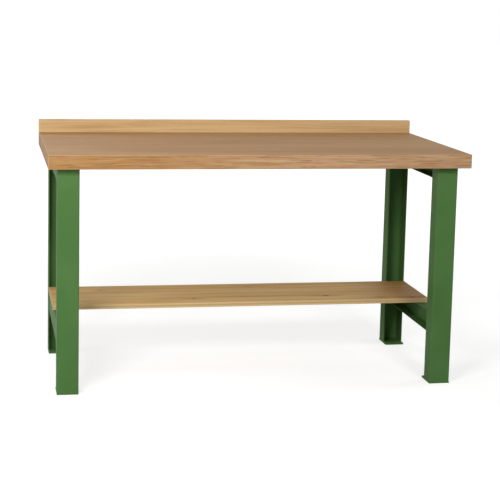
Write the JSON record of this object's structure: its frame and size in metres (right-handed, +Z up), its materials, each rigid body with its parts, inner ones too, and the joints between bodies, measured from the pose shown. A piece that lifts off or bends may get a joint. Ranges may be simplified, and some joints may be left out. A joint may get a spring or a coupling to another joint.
{
  "type": "assembly table",
  "caption": "Assembly table with a thick layered wooden worktop, a board along its rear edge, folded steel side frames with foot plates, and a half-depth wooden shelf on the lower beams.",
  "frame": {"origin": "on the floor, below the middle of the worktop", "axes": "+X to the right along the table, +Y to the rear edge with the upstand, +Z up"},
  "size_m": [1.5, 0.75, 0.9],
  "materials": {
    "worktop_wood": "layered beech, oiled",
    "upstand_wood": "beech, oiled",
    "shelf_wood": "layered wood, oiled",
    "frame_paint": "satin green powder coat",
    "screw_zinc": "zinc plated"
  },
  "bodies": {
    "root": {"worktop": "worktop_wood", "upstand": "upstand_wood", "shelf": "shelf_wood", "leg_front_left": "frame_paint", "leg_front_right": "frame_paint", "leg_rear_left": "frame_paint", "leg_rear_right": "frame_paint", "foot_front_left": "frame_paint", "foot_front_right": "frame_paint", "foot_rear_left": "frame_paint", "foot_rear_right": "frame_paint", "upper_beam_left": "frame_paint", "upper_beam_right": "frame_paint", "lower_beam_left": "frame_paint", "lower_beam_right": "frame_paint", "beam_welds": "frame_paint", "foot_welds": "frame_paint", "worktop_screws": "screw_zinc", "shelf_screws": "screw_zinc", "upstand_screws": "screw_zinc"}
  },
  "joints": []
}
